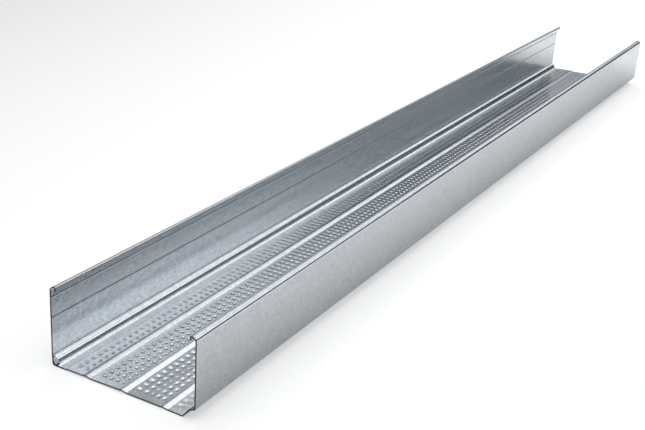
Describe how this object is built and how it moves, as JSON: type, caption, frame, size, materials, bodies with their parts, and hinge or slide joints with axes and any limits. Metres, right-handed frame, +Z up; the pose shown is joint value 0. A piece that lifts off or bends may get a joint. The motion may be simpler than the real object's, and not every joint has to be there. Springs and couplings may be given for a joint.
{
  "type": "drywall stud",
  "caption": "C-section stud of roll-formed galvanised sheet with curled lips, stepped corners and a beaded, knurled web, for framing plasterboard partitions.",
  "frame": {"origin": "middle of the footprint at floor level, as the stud lies on its web", "axes": "+X across the web towards the flange with the stepped corner, +Y along the length, +Z up and out of the open side"},
  "size_m": [0.0988, 0.85, 0.05],
  "materials": {
    "galvanised": "hot-dip galvanised sheet, fine spangle"
  },
  "bodies": {
    "root": {"stud": "galvanised"}
  },
  "joints": []
}
